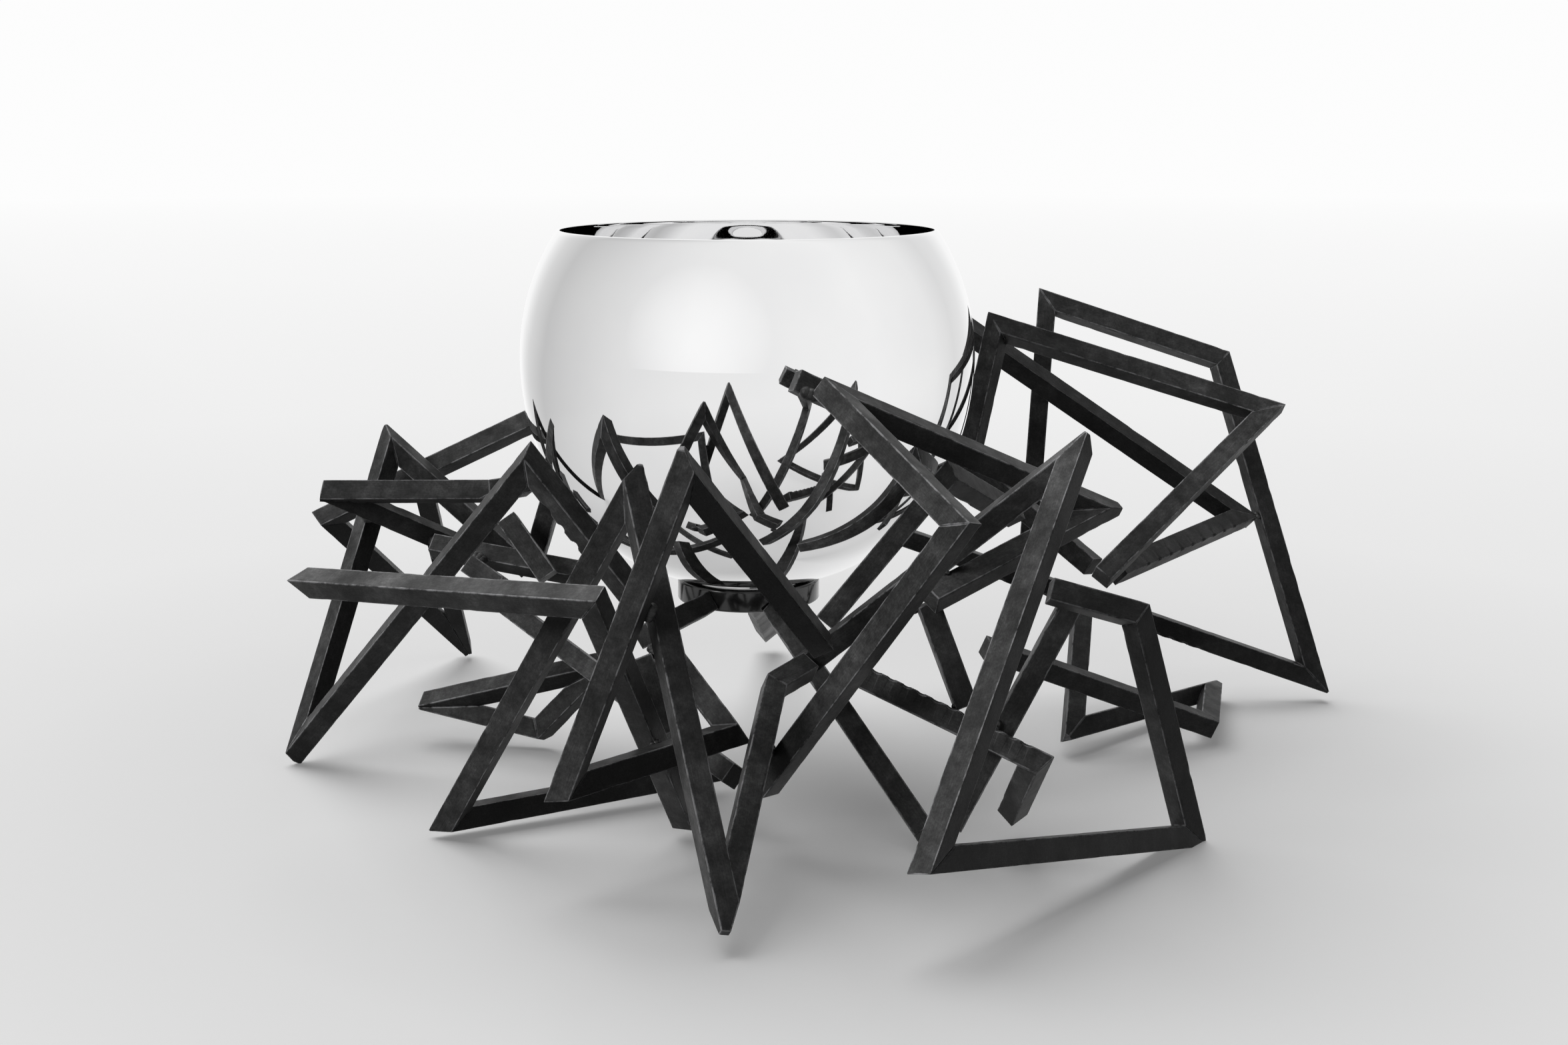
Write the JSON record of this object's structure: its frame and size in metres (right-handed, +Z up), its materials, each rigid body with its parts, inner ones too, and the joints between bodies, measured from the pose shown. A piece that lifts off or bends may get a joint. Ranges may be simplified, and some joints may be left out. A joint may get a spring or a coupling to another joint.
{
  "type": "bowl sculpture",
  "caption": "Mirror-polished steel bowl resting on a small ring in a welded nest of blackened square steel bars; the bowl lifts out.",
  "frame": {"origin": "On the ground, under the middle of the whole object's bounding box.", "axes": "+Z up, +X along the nest's long side to the right of someone facing its front, -Y towards that viewer."},
  "size_m": [0.5022, 0.4277, 0.241],
  "materials": {
    "blackened_steel": "hot-blackened mild steel, matt, with worn bright edges",
    "polished_steel": "mirror-polished stainless steel",
    "black_enamel": "gloss black"
  },
  "bodies": {
    "nest": {"back_right_diagonal": "blackened_steel", "back_right_floor_bar": "blackened_steel", "back_right_long_bar": "blackened_steel", "back_right_post": "blackened_steel", "bowl_side_falling_bar": "blackened_steel", "bowl_side_rising_bar": "blackened_steel", "centre_low_bar": "blackened_steel", "centre_peak_left_leg": "blackened_steel", "centre_peak_right_leg": "blackened_steel", "centre_return_bar": "blackened_steel", "filler_stubs": "blackened_steel", "front_foot_bar": "blackened_steel", "front_foot_link": "blackened_steel", "front_foot_riser": "blackened_steel", "front_peak_left_leg": "blackened_steel", "front_peak_right_leg": "blackened_steel", "front_right_floor_bar": "blackened_steel", "front_right_inner_leg": "blackened_steel", "front_right_link_bar": "blackened_steel", "front_right_long_bar": "blackened_steel", "front_right_outer_leg": "blackened_steel", "front_right_tall_bar": "blackened_steel", "leaning_frame_long_leg": "blackened_steel", "leaning_frame_lower_bar": "blackened_steel", "leaning_frame_top_bar": "blackened_steel", "leaning_frame_upper_bar": "blackened_steel", "left_back_brace": "blackened_steel", "left_back_leg": "blackened_steel", "left_back_top_bar": "blackened_steel", "left_cross_bar": "blackened_steel", "left_low_end_bar": "blackened_steel", "left_low_front_bar": "blackened_steel", "left_low_long_bar": "blackened_steel", "left_peak_back_bar": "blackened_steel", "left_peak_inner_bar": "blackened_steel", "left_peak_outer_leg": "blackened_steel", "left_peak_rising_bar": "blackened_steel", "left_props": "blackened_steel", "left_shelf_bar": "blackened_steel", "left_spear_bar": "blackened_steel", "left_spear_leg": "blackened_steel", "left_wedge_end": "blackened_steel", "left_wedge_lower_bar": "blackened_steel", "left_wedge_upper_bar": "blackened_steel", "outer_wedge_inner_post": "blackened_steel", "outer_wedge_lower_bar": "blackened_steel", "outer_wedge_return_bar": "blackened_steel", "outer_wedge_top_bar": "blackened_steel", "rear_right_long_bar": "blackened_steel", "rear_right_return_bar": "blackened_steel", "ring_brace": "blackened_steel", "ring_legs": "blackened_steel", "scalloped_bar": "blackened_steel", "scalloped_foot": "blackened_steel", "seat_ring": "black_enamel", "tall_frame_bottom_bar": "blackened_steel", "tall_frame_left_post": "blackened_steel", "tall_frame_right_post": "blackened_steel", "tall_frame_top_bar": "blackened_steel"},
    "bowl": {"bowl": "polished_steel"}
  },
  "joints": [
    {"name": "bowl_lift", "type": "slide", "parent": "nest", "child": "bowl", "axis": [0, 0, 1], "range_m": [0, 0.2]}
  ]
}
